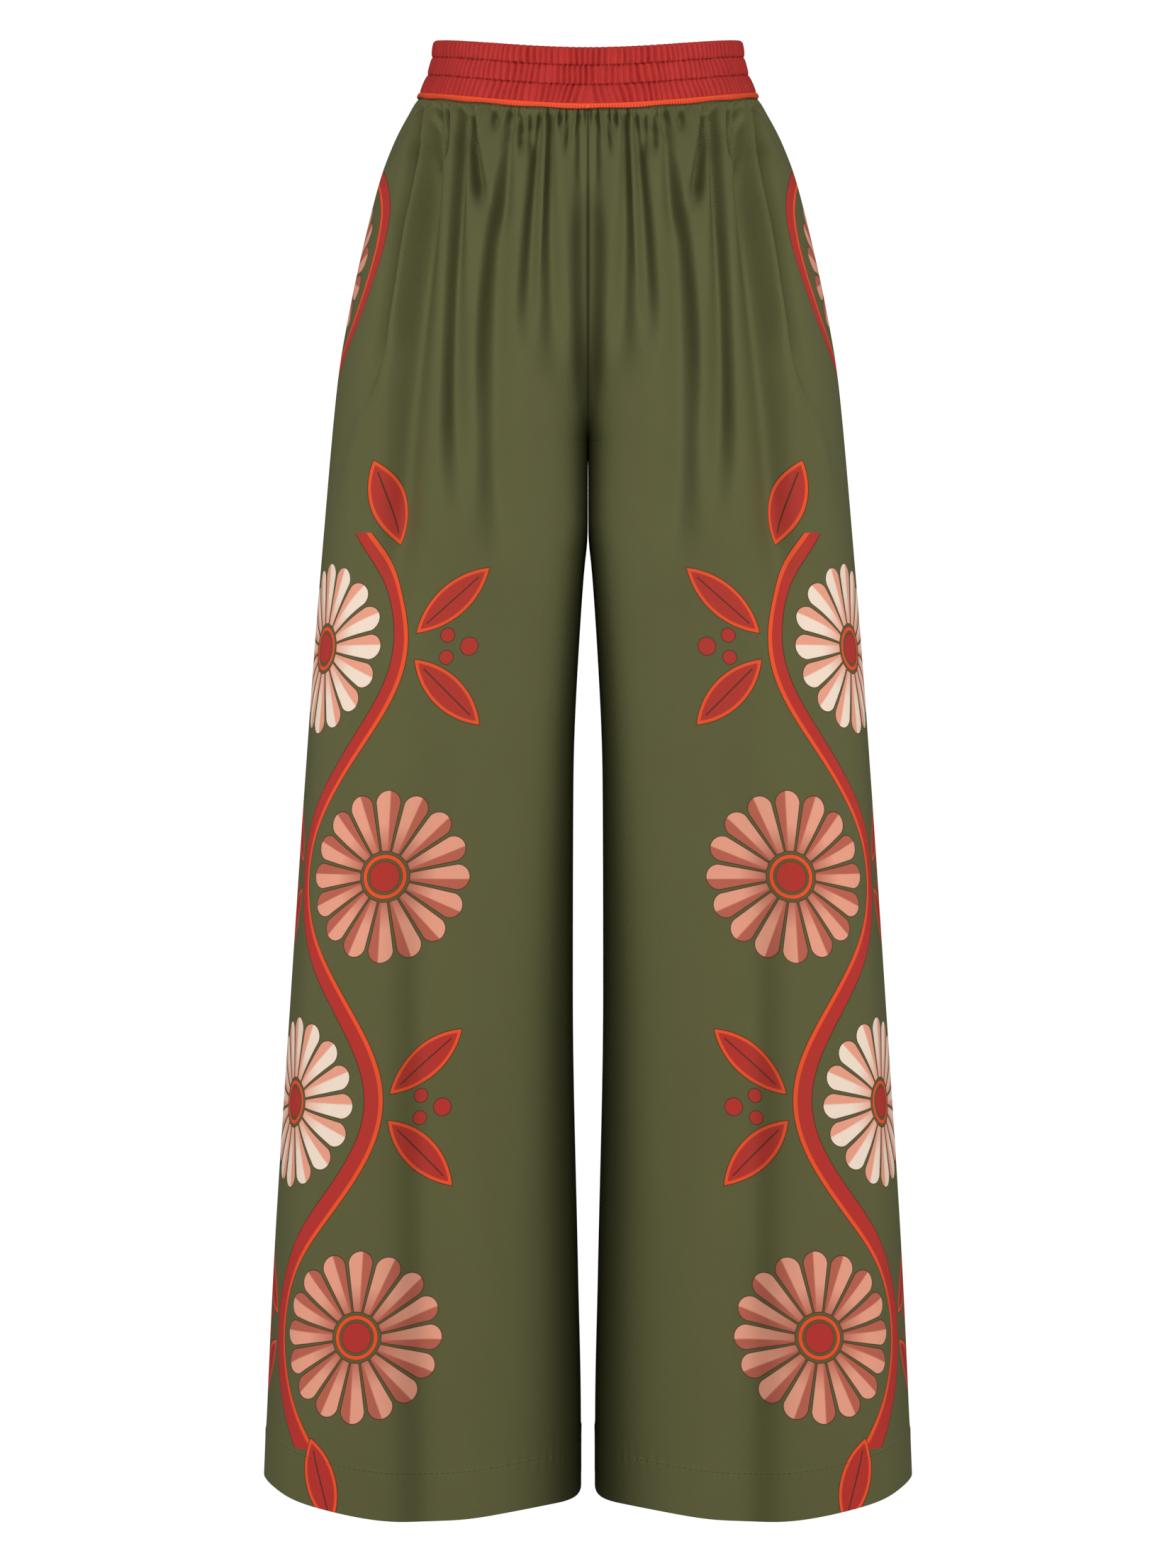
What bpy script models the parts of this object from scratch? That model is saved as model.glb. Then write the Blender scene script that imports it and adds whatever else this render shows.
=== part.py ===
"""Palazzo pants in their worn form: four leg panels, an elastic waistband in two halves and its binding.

Run with: blender --background --python part.py. Metres, +Z up, the front looks towards -Y.
The origin is the middle of the waist, halfway up the waistband at the side seams.
The cloth is one wall. At any height it follows two rounded rings, one a leg, each cut where it meets X = 0.
"""

import collections
import math

import bmesh
import bpy
import numpy as np

# Driving dimensions
BAND_TOP = 0.0200  # waistband's upper edge at the side seams
BAND_HEIGHT = 0.0386  # three elastic channels
BINDING_HEIGHT = 0.0042
FRONT_TOP_DIP = 0.0205  # how far the upper edge falls from the side seams to the centre front
FRONT_SEAM_DIP = 0.0250  # and how far the waist seam does
BACK_RISE = 0.0020  # how far both climb to the centre back
DIP_ROUNDING = 1.15  # 1 would make the dip a slanted flat cut
HEM_HEIGHT = -1.0685  # hem at its lowest, in the middle of each panel
HEM_LOWEST = 0.52  # where that is, as a share of the way from the side seam to the inseam
HEM_OUTER_RISE = 0.0180  # the hem climbs this much towards the side seam
HEM_OUTER_END = 0.10
HEM_INNER_RISE = 0.0115  # and this much towards the inseam
HEM_INNER_END = 0.74
CLOTH = 0.0015  # wall of a leg panel
BAND_WALL = 0.0032  # casing with its elastic
SEAM_GAP = 0.0003  # between two pieces that are sewn together

Section = collections.namedtuple("Section", "z reach inner front back valley outer_power inner_power")
# reach: outer edge of the silhouette.
# inner: inner edge of a leg's ring, below zero where both legs share one ring.
# front, back: how far the cloth stands before and behind the side seams.
# valley: rounding of the fork between the legs.
# outer_power, inner_power: shape of the ring's two halves. 2 is an ellipse, and more has tighter corners.
SECTIONS = [
    Section(0.0200, 0.1152, -0.1152, 0.0875, 0.0860, 0.000, 2.0, 2.0),
    Section(0.0000, 0.1183, -0.1183, 0.0900, 0.0890, 0.000, 2.0, 2.0),
    Section(-0.0236, 0.1277, -0.1277, 0.0955, 0.0960, 0.000, 2.0, 2.0),
    Section(-0.0555, 0.1444, -0.1350, 0.1065, 0.1085, 0.003, 2.0, 2.4),
    Section(-0.0768, 0.1529, -0.1200, 0.1120, 0.1160, 0.004, 2.1, 2.8),
    Section(-0.1087, 0.1620, -0.0920, 0.1180, 0.1260, 0.005, 2.1, 3.4),
    Section(-0.1406, 0.1694, -0.0600, 0.1220, 0.1330, 0.005, 2.2, 4.0),
    Section(-0.1832, 0.1782, -0.0320, 0.1250, 0.1370, 0.004, 2.3, 5.0),
    Section(-0.2257, 0.1856, -0.0140, 0.1265, 0.1375, 0.003, 2.3, 6.0),
    Section(-0.2683, 0.1902, -0.0035, 0.1270, 0.1355, 0.001, 2.4, 7.0),
    Section(-0.2900, 0.1922, 0.0000, 0.1268, 0.1340, 0.000, 2.4, 7.4),
    Section(-0.3435, 0.1968, 0.0002, 0.1257, 0.1314, 0.000, 2.4, 8.2),
    Section(-0.3743, 0.1994, 0.0029, 0.1252, 0.1305, 0.000, 2.4, 8.2),
    Section(-0.4278, 0.2037, 0.0066, 0.1245, 0.1290, 0.000, 2.4, 8.0),
    Section(-0.5340, 0.2114, 0.0110, 0.1235, 0.1270, 0.000, 2.4, 6.8),
    Section(-0.6938, 0.2221, 0.0114, 0.1230, 0.1260, 0.000, 2.4, 5.6),
    Section(-0.9065, 0.2354, 0.0074, 0.1250, 0.1280, 0.000, 2.4, 4.7),
    Section(-1.0129, 0.2402, 0.0053, 0.1270, 0.1300, 0.000, 2.4, 4.4),
    Section(-1.0800, 0.2428, 0.0053, 0.1285, 0.1320, 0.000, 2.4, 4.2),
]

Fold = collections.namedtuple("Fold", "x_head x_middle x_foot z_head z_foot half_width depth")
# A trough down a panel through three places, counted from the centre seam. Depth is below zero for a ridge.
FRONT_FOLDS = [
    Fold(0.1190, 0.1425, 0.1540, -0.022, -0.310, 0.0065, -0.0028),
    Fold(0.1330, 0.1340, 0.1350, -0.150, -0.520, 0.0130, 0.0045),
    Fold(0.0830, 0.0905, 0.0925, -0.030, -0.350, 0.0080, 0.0045),
    Fold(0.0490, 0.0660, 0.0680, -0.035, -0.350, 0.0090, 0.0062),
    Fold(0.0364, 0.0405, 0.0445, -0.040, -0.250, 0.0062, 0.0036),
    Fold(0.0265, 0.0258, 0.0235, -0.040, -0.280, 0.0062, 0.0040),
    Fold(0.0000, 0.0000, 0.0000, -0.110, -0.290, 0.0070, 0.0055),
    Fold(0.1320, 0.1290, 0.1200, -0.600, -1.500, 0.0280, 0.0040),
    Fold(0.1980, 0.2080, 0.2150, -0.500, -1.500, 0.0220, -0.0025),
]
BACK_FOLDS = [
    Fold(0.0950, 0.1010, 0.1050, -0.020, -0.340, 0.0085, 0.0040),
    Fold(0.0640, 0.0700, 0.0760, -0.020, -0.290, 0.0080, 0.0044),
    Fold(0.0400, 0.0480, 0.0500, -0.020, -0.330, 0.0075, 0.0038),
    Fold(0.0200, 0.0240, 0.0260, -0.020, -0.230, 0.0065, 0.0030),
    Fold(0.0000, 0.0000, 0.0000, -0.110, -0.290, 0.0075, 0.0060),
    Fold(0.1050, 0.1000, 0.0900, -0.360, -1.500, 0.0260, 0.0060),
    Fold(0.1700, 0.1760, 0.1800, -0.300, -1.500, 0.0260, 0.0060),
]
FOLD_ONSET = 0.12  # share of a fold's length, on each side of its head, over which it deepens
FOLD_FADE = 0.50  # share of its length after which it dies out

PANEL_GATHERS = 12  # on each of the four panels, under the waist seam
GATHER_DEPTH = 0.0017
GATHER_LENGTH = 0.042  # their depth falls to a third over this length
GATHER_WANDER = 0.30  # how unevenly they are spaced, as a share of one gather
WANDER_RATE = 7  # radians of that unevenness across a panel
LENGTH_SPREAD = 0.4  # share by which some gathers are longer than others
LENGTH_RATE = 11  # radians of that spread across a panel
BAND_GATHERS = 74  # on each half of the waistband
BAND_GATHER_DEPTH = 0.0007
SEAM_CALM = 0.10  # share of a panel's width next to a seam, over which its folds turn to lie in the seam

CROTCH = -0.2900  # where the four leg panels meet
LEAD_START = 0.30  # from this down, a panel's rows run ahead at the centre seam, which is level at the crotch
LEAD_POWER = 3.6
SPREAD_END = 0.55  # this far below the seam at the sides, a panel's columns spread over half a turn
SEAM_PULL = 12  # power of the share, in the way a panel's last columns follow the centre seam
# A panel's rows: down is 0 at the waist seam, 1 at the crotch's height and 2 at the hem.
Zone = collections.namedtuple("Zone", "first last rows columns")
PANEL_ZONES = [
    Zone(0.00, 0.24, 4, 4 * PANEL_GATHERS),
    Zone(0.24, 1.00, 8, 34),
    Zone(1.00, 1.13, 3, 20),
    Zone(1.13, 2.00, 9, 20),
]

Profile = collections.namedtuple("Profile", "down proud")
# Down is the share of the waistband's height, and proud is how far each line of its outer surface stands out.
BAND_PROFILE = [
    Profile(0.00, 0.0000),
    Profile(0.16, 0.0010),
    Profile(0.33, 0.0001),
    Profile(0.50, 0.0011),
    Profile(0.66, 0.0000),
    Profile(0.83, 0.0008),
    Profile(1.00, 0.0004),
]
BAND_LINING_COLUMNS = 36
BINDING_PROFILE = [Profile(0.00, 0.0006), Profile(0.30, 0.0018), Profile(0.75, 0.0018), Profile(1.00, 0.0006)]
BINDING_COLUMNS = 44
BINDING_WALL = 0.0020

OLIVE = (0.082, 0.084, 0.037)
RED = (0.434, 0.034, 0.029)
ORANGE = (0.750, 0.068, 0.024)
CLOTH_ROUGHNESS = 0.55

SLOPE_STEP = 1e-5  # in share and down, for the cloth's slopes


def smooth_curve(knots, values, at):
    """Values between rising knots on a curve that never swings past them (monotone cubic)."""
    knots, values, at = np.asarray(knots), np.asarray(values), np.asarray(at, float)
    step = np.diff(knots)
    slope = np.diff(values) / step
    mean = (slope[:-1] * step[1:] + slope[1:] * step[:-1]) / (step[1:] + step[:-1])
    limit = 3 * np.minimum(abs(slope[:-1]), abs(slope[1:]))
    inner = np.where(slope[:-1] * slope[1:] > 0, np.sign(mean) * np.minimum(abs(mean), limit), 0)
    tangent = np.concatenate([slope[:1], inner, slope[-1:]])
    i = np.clip(np.searchsorted(knots, at) - 1, 0, len(step) - 1)
    t = np.clip((at - knots[i]) / step[i], 0, 1)
    return (
        values[i] * (1 + 2 * t) * (1 - t) ** 2
        + tangent[i] * step[i] * t * (1 - t) ** 2
        + values[i + 1] * t**2 * (3 - 2 * t)
        - tangent[i + 1] * step[i] * t**2 * (1 - t)
    )


def section_at(z, name):
    rows = SECTIONS[::-1]
    return smooth_curve([row.z for row in rows], [getattr(row, name) for row in rows], z)


def smooth_step(low, high, x):
    t = np.clip((x - low) / (high - low), 0, 1)
    return t * t * (3 - 2 * t)


class Ring:
    """The rounded ring of a leg at each height, and its polar angles from the side seam."""

    def __init__(self, z, side):
        self.reach, inner, self.valley = (section_at(z, name) for name in ("reach", "inner", "valley"))
        self.outer_power, self.inner_power = section_at(z, "outer_power"), section_at(z, "inner_power")
        self.centre, self.half_width = (self.reach + inner) / 2, (self.reach - inner) / 2
        self.depth = section_at(z, side)
        self.last = self.angle_at(np.where(inner < 0, self.valley, inner))
        self.spread = math.pi / 2 * (1 + smooth_step(0, SPREAD_END, -z))

    def angle_at(self, across):
        """Angle of the point this far from the middle of the garment, before the fork is rounded."""
        share = np.clip((across - self.centre) / self.half_width, -1, 1)
        power = np.where(share > 0, self.outer_power, self.inner_power)
        return np.arctan2(self.depth * (1 - abs(share) ** power) ** (1 / power), share * self.half_width)

    def angle_of_place(self, x):
        """Angle of the point this far from the centre seam, with the fork rounded."""
        return self.angle_at(np.sqrt(x**2 * (1 - (self.valley / self.reach) ** 2) + self.valley**2))

    def angle_of_share(self, share):
        """Angle of a column of the panel. The columns next to the centre seam follow it round the crotch."""
        return share * self.spread + share**SEAM_PULL * (self.last - self.spread)

    def point(self, share):
        """Distances from the middle, before the fork is rounded, and from the side seams' plane."""
        angle = self.angle_of_share(share)
        cos, sin = np.cos(angle), np.sin(angle)
        power = np.where(cos > 0, self.outer_power, self.inner_power)
        radius = (abs(cos / self.half_width) ** power + abs(sin / self.depth) ** power) ** (-1 / power)
        return self.centre + radius * cos, radius * sin


def plain_point(share, z, side, centre_gap=SEAM_GAP):
    """The cloth without its folds. share runs from 0 at the side seam to 1 at the centre seam or inseam."""
    ring = Ring(z, side)
    across, y = ring.point(share)
    across = np.maximum(across**2 - ring.valley**2, 0) / (ring.reach**2 - ring.valley**2)
    x = centre_gap / 2 + (ring.reach - centre_gap / 2) * np.sqrt(across)
    y = SEAM_GAP / 2 + y * (1 - SEAM_GAP / 2 / ring.depth)
    return x, -y if side == "front" else y


def waist_height(level, share, side):
    """Height, round the waist, of a line that lies at this level at the side seams."""
    down = min((BAND_TOP - level) / BAND_HEIGHT, 1)
    front_dip = FRONT_TOP_DIP + (FRONT_SEAM_DIP - FRONT_TOP_DIP) * down
    turned = np.sin(share * math.pi / 2) ** DIP_ROUNDING
    return level + turned * (-front_dip if side == "front" else BACK_RISE)


def waist_seam_height(share, side):
    """Upper edge of the leg panels."""
    return waist_height(BAND_TOP - BAND_HEIGHT - BINDING_HEIGHT - 2 * SEAM_GAP, share, side)


def hem_height(share):
    """Lower edge of the leg panels."""
    outer = HEM_OUTER_RISE * smooth_step(HEM_LOWEST, HEM_OUTER_END, share)
    return HEM_HEIGHT + outer + HEM_INNER_RISE * smooth_step(HEM_LOWEST, HEM_INNER_END, share)


def fold_height(share, z, side):
    """How far the folds and gathers of a panel stand out from the plain cloth."""
    ring = Ring(z, side)
    height = 0 * share * z
    for fold in FRONT_FOLDS if side == "front" else BACK_FOLDS:
        run = (z - fold.z_head) / (fold.z_foot - fold.z_head)
        along = np.clip(run, 0, 1)
        bend = 4 * along * (1 - along)
        x = fold.x_head + (fold.x_foot - fold.x_head) * along
        x = x + bend * (fold.x_middle - (fold.x_head + fold.x_foot) / 2)
        turned = ring.angle_of_share(share) - ring.angle_of_place(x)
        away = turned * (ring.half_width + ring.depth) / 2 / fold.half_width
        strength = smooth_step(-FOLD_ONSET, FOLD_ONSET, run) * (1 - smooth_step(FOLD_FADE, 1, run))
        height = height - fold.depth * strength * np.exp(-(away**2))
    below = waist_seam_height(share, side) - z
    wander = GATHER_WANDER * np.sin(WANDER_RATE * share) * np.sin(math.pi * share)
    turns = PANEL_GATHERS * share + wander
    strength = np.exp(-below / GATHER_LENGTH * (1 + LENGTH_SPREAD * np.sin(LENGTH_RATE * share)))
    height = height - GATHER_DEPTH * strength * np.cos(2 * math.pi * turns)
    return height * smooth_step(0, SEAM_CALM, share)


def plain_cloth(share, down, side):
    """Points of a panel's outer surface, before its folds."""
    upper, lower = np.minimum(down, 1), np.maximum(down - 1, 0)
    near_fork = np.maximum(upper - LEAD_START, 0) / (1 - LEAD_START)
    lead = 1 - (1 - near_fork) ** LEAD_POWER - near_fork
    upper = upper + (1 - LEAD_START) * lead * share**SEAM_PULL
    z = waist_seam_height(share, side) * (1 - upper) + CROTCH * upper
    z = z + (hem_height(share) - CROTCH) * lower
    x, y = plain_point(share, z, side)
    return np.stack([x, y, z], axis=-1)


def facing(surface, share, down):
    """Unit normals of a surface in share and down, away from the middle of its leg."""
    right, left = np.minimum(share + SLOPE_STEP, 1), np.maximum(share - SLOPE_STEP, 0)
    lower, upper = np.minimum(down + SLOPE_STEP, 2), np.maximum(down - SLOPE_STEP, np.where(down < 1, 0, 1))
    across = surface(right, down) - surface(left, down)
    along = surface(share, lower) - surface(share, upper)
    normal = np.cross(across, along)
    return normal / np.linalg.norm(normal, axis=-1, keepdims=True)


def panel_rows(side, depth):
    """Rows of points of a panel, this deep inside its outer surface, for the left leg."""
    turn = 1 if side == "front" else -1

    def plain(share, down):
        return plain_cloth(share, down, side)

    def folded(share, down):
        points = plain(share, down)
        height = fold_height(share, points[..., 2], side)
        away = facing(plain, share, down)
        away[..., 0] *= 1 - smooth_step(1 - SEAM_CALM, 1, share)
        return points + turn * height[..., None] * away

    rows = []
    for zone in PANEL_ZONES:
        share = np.linspace(0, 1, zone.columns + 1)
        for i in range(zone.rows + (zone is PANEL_ZONES[-1])):
            down = np.full_like(share, zone.first + (zone.last - zone.first) * i / zone.rows)
            normal = turn * facing(folded, share, down)
            normal[0, 1] = 0
            if down[0] == 1:
                normal[-1] = (0, 0, -1)
            normal[-1, 0 if down[0] < 1 else 1] = 0
            normal /= np.linalg.norm(normal, axis=1, keepdims=True)
            rows.append(folded(share, down) - depth * normal)
    return rows


def zip_rows(mesh, first, second, smooth):
    """Triangles between two rows of vertices that run the same way and may differ in number."""
    i = j = 0
    while i < len(first) - 1 or j < len(second) - 1:
        if (i + 1) * (len(second) - 1) <= (j + 1) * (len(first) - 1):
            corners = (first[i], second[j], first[i + 1])
            i += 1
        else:
            corners = (first[i], second[j], second[j + 1])
            j += 1
        mesh.faces.new(corners).smooth = smooth


def wall(name, outer_rows, inner_rows, colour, collection):
    """A solid wall between two stacks of rows, closed along its four edges."""
    mesh = bmesh.new()
    outer = [[mesh.verts.new(point) for point in row] for row in outer_rows]
    inner = [[mesh.verts.new(point) for point in row] for row in inner_rows]
    for rows in (outer, inner):
        for upper, lower in zip(rows, rows[1:]):
            zip_rows(mesh, upper, lower, True)
    zip_rows(mesh, outer[0], inner[0], False)
    zip_rows(mesh, outer[-1], inner[-1], False)
    for end in (0, -1):
        zip_rows(mesh, [row[end] for row in outer], [row[end] for row in inner], False)
    bmesh.ops.recalc_face_normals(mesh, faces=mesh.faces)
    data = bpy.data.meshes.new(name)
    mesh.to_mesh(data)
    mesh.free()
    data.materials.append(material(name, colour))
    collection.objects.link(bpy.data.objects.new(name, data))


def material(name, colour):
    cloth = bpy.data.materials.new(name)
    cloth.use_nodes = True
    shader = cloth.node_tree.nodes["Principled BSDF"]
    shader.inputs["Base Color"].default_value = (*colour, 1)
    shader.inputs["Roughness"].default_value = CLOTH_ROUGHNESS
    shader.inputs["Metallic"].default_value = 0
    cloth.diffuse_color = (*colour, 1)
    return cloth


def half_ring(side, profile, top, height, columns, gather_depth, depth):
    """Rows of points of a strip that runs from one side seam to the other, over the centre front or back."""
    turn = np.linspace(-1, 1, columns + 1)
    share = 1 - abs(turn)
    outward_y = -1 if side == "front" else 1
    gather = gather_depth * np.where(np.arange(columns + 1) % 2, 1, -1) * smooth_step(0, SEAM_CALM, share)
    rows = []
    for line in profile:
        z = waist_height(top - line.down * height, share, side)
        x, y = plain_point(share, z, side, centre_gap=0)
        normal_x = x / section_at(z, "reach") ** 2
        normal_y = abs(y) / section_at(z, side) ** 2
        length = np.hypot(normal_x, normal_y)
        away = line.proud + gather - depth
        x = (x + away * normal_x / length) * np.sign(turn)
        y = np.maximum(abs(y) + away * normal_y / length, SEAM_GAP / 2) * outward_y
        rows.append(np.column_stack([x, y, z]))
    return rows


def main():
    for thing in list(bpy.data.objects):
        bpy.data.objects.remove(thing)
    pants = bpy.data.collections.new("palazzo_pants")
    bpy.context.scene.collection.children.link(pants)

    for side in ("front", "back"):
        outer, inner = panel_rows(side, 0), panel_rows(side, CLOTH)
        for leg, sign in (("left", 1), ("right", -1)):
            outer_rows = [row * (sign, 1, 1) for row in outer]
            inner_rows = [row * (sign, 1, 1) for row in inner]
            wall(f"{side}_leg_{leg}", outer_rows, inner_rows, OLIVE, pants)

        outer = half_ring(side, BAND_PROFILE, BAND_TOP, BAND_HEIGHT, 2 * BAND_GATHERS, BAND_GATHER_DEPTH, 0)
        ends = [Profile(0, 0), Profile(0.5, 0), Profile(1, 0)]
        inner = half_ring(side, ends, BAND_TOP, BAND_HEIGHT, BAND_LINING_COLUMNS, 0, BAND_WALL)
        wall(f"waistband_{side}", outer, inner, RED, pants)

        top = BAND_TOP - BAND_HEIGHT - SEAM_GAP
        outer = half_ring(side, BINDING_PROFILE, top, BINDING_HEIGHT, BINDING_COLUMNS, 0, 0)
        inner = half_ring(side, ends[::2], top, BINDING_HEIGHT, BINDING_COLUMNS, 0, BINDING_WALL)
        wall(f"binding_{side}", outer, inner, ORANGE, pants)


main()
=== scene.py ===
"""Looks of the palazzo pants: printed silk leg panels, gathered waistband, binding, light and camera.

Metres, +Z up, the front looks towards -Y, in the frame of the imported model.
"""

import collections
import math

import bpy
import numpy as np
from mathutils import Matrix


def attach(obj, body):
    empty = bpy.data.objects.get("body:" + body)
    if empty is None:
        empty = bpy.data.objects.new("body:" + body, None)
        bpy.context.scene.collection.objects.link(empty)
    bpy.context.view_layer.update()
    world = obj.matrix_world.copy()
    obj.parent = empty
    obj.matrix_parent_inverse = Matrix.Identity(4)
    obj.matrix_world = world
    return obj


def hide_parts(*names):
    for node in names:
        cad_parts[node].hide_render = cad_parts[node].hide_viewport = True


# Sizes of the garment, as in the solids.
# Shares of a panel run from 0 at its side seam to 1 at its centre seam or inseam.
BAND_TOP = 0.0200
BAND_HEIGHT = 0.0386
BINDING_HEIGHT = 0.0042
FRONT_TOP_DIP = 0.0205  # how far the waist's edges dip in the middle of the front
FRONT_SEAM_DIP = 0.0250
BACK_RISE = 0.0020
DIP_ROUNDING = 1.15
HEM_HEIGHT = -1.0685
HEM_LOWEST = 0.52  # the share where the hem hangs lowest
HEM_OUTER_RISE = 0.0180
HEM_OUTER_END = 0.10
HEM_INNER_RISE = 0.0115
HEM_INNER_END = 0.74
SEAM_GAP = 0.0003
CROTCH = -0.2900
LEAD_START = 0.30  # next to the centre seam the rows run ahead from here, as a share of the way to the crotch
LEAD_POWER = 3.6
SPREAD_END = 0.55  # the panels' columns have spread round the legs this far down
SEAM_PULL = 12  # how closely the last columns keep to the centre seam
CROTCH_PULL = 18  # and how much more closely near the height of the crotch
CROTCH_REACH = 0.035

Section = collections.namedtuple("Section", "z reach inner front back valley outer_power inner_power")
# reach: outer edge of the silhouette.
# inner: inner edge of a leg's ring, below zero where both legs share one ring.
# front, back: how far the cloth stands before and behind the side seams.
# valley: rounding of the fork between the legs.
# outer_power, inner_power: shape of the ring's two halves. 2 is an ellipse, and more has tighter corners.
SECTIONS = [
    Section(0.0200, 0.1152, -0.1152, 0.0875, 0.0860, 0.000, 2.0, 2.0),
    Section(0.0000, 0.1183, -0.1183, 0.0900, 0.0890, 0.000, 2.0, 2.0),
    Section(-0.0236, 0.1277, -0.1277, 0.0955, 0.0960, 0.000, 2.0, 2.0),
    Section(-0.0555, 0.1444, -0.1350, 0.1065, 0.1085, 0.003, 2.0, 2.4),
    Section(-0.0768, 0.1529, -0.1200, 0.1120, 0.1160, 0.004, 2.1, 2.8),
    Section(-0.1087, 0.1620, -0.0920, 0.1180, 0.1260, 0.005, 2.1, 3.4),
    Section(-0.1406, 0.1694, -0.0600, 0.1220, 0.1330, 0.005, 2.2, 4.0),
    Section(-0.1832, 0.1782, -0.0320, 0.1250, 0.1370, 0.004, 2.3, 5.0),
    Section(-0.2257, 0.1856, -0.0140, 0.1265, 0.1375, 0.003, 2.3, 6.0),
    Section(-0.2683, 0.1902, -0.0035, 0.1270, 0.1355, 0.001, 2.4, 8.5),
    Section(-0.2900, 0.1922, 0.0000, 0.1268, 0.1340, 0.000, 2.4, 9.5),
    Section(-0.3435, 0.1968, 0.0002, 0.1257, 0.1314, 0.000, 2.4, 10.5),
    Section(-0.3743, 0.1994, 0.0029, 0.1252, 0.1305, 0.000, 2.4, 10.0),
    Section(-0.4278, 0.2037, 0.0066, 0.1245, 0.1290, 0.000, 2.4, 9.0),
    Section(-0.5340, 0.2114, 0.0110, 0.1235, 0.1270, 0.000, 2.4, 7.4),
    Section(-0.6938, 0.2221, 0.0114, 0.1230, 0.1260, 0.000, 2.4, 5.6),
    Section(-0.9065, 0.2354, 0.0074, 0.1250, 0.1280, 0.000, 2.4, 4.7),
    Section(-1.0129, 0.2402, 0.0053, 0.1270, 0.1300, 0.000, 2.4, 4.4),
    Section(-1.0800, 0.2428, 0.0053, 0.1285, 0.1320, 0.000, 2.4, 4.2),
]

Fold = collections.namedtuple("Fold", "x_head x_middle x_foot z_head z_foot width_head width_foot depth")
# A trough that runs down a panel through three places.
# A width is half the trough's, and a depth below zero makes a ridge.
FRONT_FOLDS = [
    Fold(0.1195, 0.1345, 0.1455, -0.030, -0.235, 0.0050, 0.0065, -0.0042),
    Fold(0.1195, 0.1347, 0.1457, -0.030, -0.235, 0.0016, 0.0022, -0.0014),
    Fold(0.1430, 0.1600, 0.1830, -0.190, -0.340, 0.0070, 0.0120, -0.0026),
    Fold(0.1250, 0.1445, 0.1645, -0.040, -0.280, 0.0042, 0.0072, 0.0150),
    Fold(0.1165, 0.1160, 0.1160, -0.046, -0.090, 0.0028, 0.0034, 0.0060),
    Fold(0.1125, 0.1122, 0.1118, -0.026, -0.066, 0.0026, 0.0030, 0.0085),
    Fold(0.1052, 0.1058, 0.1064, -0.026, -0.082, 0.0026, 0.0034, 0.0105),
    Fold(0.0915, 0.0958, 0.0915, -0.030, -0.365, 0.0030, 0.0105, 0.0120),
    Fold(0.0888, 0.0838, 0.0756, -0.026, -0.126, 0.0020, 0.0056, 0.0132),
    Fold(0.0680, 0.0678, 0.0675, -0.026, -0.066, 0.0026, 0.0030, 0.0050),
    Fold(0.0545, 0.0585, 0.0620, -0.030, -0.150, 0.0028, 0.0055, 0.0045),
    Fold(0.0610, 0.0673, 0.0625, -0.100, -0.395, 0.0080, 0.0110, 0.0090),
    Fold(0.0640, 0.0785, 0.0845, -0.080, -0.290, 0.0034, 0.0055, -0.0016),
    Fold(0.0482, 0.0480, 0.0478, -0.027, -0.086, 0.0024, 0.0030, 0.0056),
    Fold(0.0422, 0.0418, 0.0415, -0.027, -0.086, 0.0024, 0.0030, 0.0050),
    Fold(0.0330, 0.0400, 0.0445, -0.018, -0.238, 0.0020, 0.0070, 0.0070),
    Fold(0.0290, 0.0330, 0.0370, -0.050, -0.200, 0.0016, 0.0022, -0.0012),
    Fold(0.0268, 0.0268, 0.0225, -0.030, -0.258, 0.0022, 0.0080, 0.0066),
    Fold(0.0200, 0.0198, 0.0196, -0.027, -0.066, 0.0020, 0.0024, 0.0042),
    Fold(0.0122, 0.0135, 0.0148, -0.027, -0.088, 0.0020, 0.0028, 0.0032),
    Fold(0.0060, 0.0056, 0.0044, -0.028, -0.122, 0.0018, 0.0030, 0.0028),
    Fold(0.0000, 0.0000, 0.0000, -0.115, -0.282, 0.0050, 0.0060, 0.0070),
    Fold(0.1170, 0.1320, 0.1480, -0.060, -0.455, 0.0110, 0.0190, 0.0210),
    Fold(0.1200, 0.1120, 0.1060, -0.600, -1.500, 0.0200, 0.0240, 0.0120),
    Fold(0.1980, 0.2080, 0.2150, -0.500, -1.500, 0.0220, 0.0240, -0.0025),
]
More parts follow.
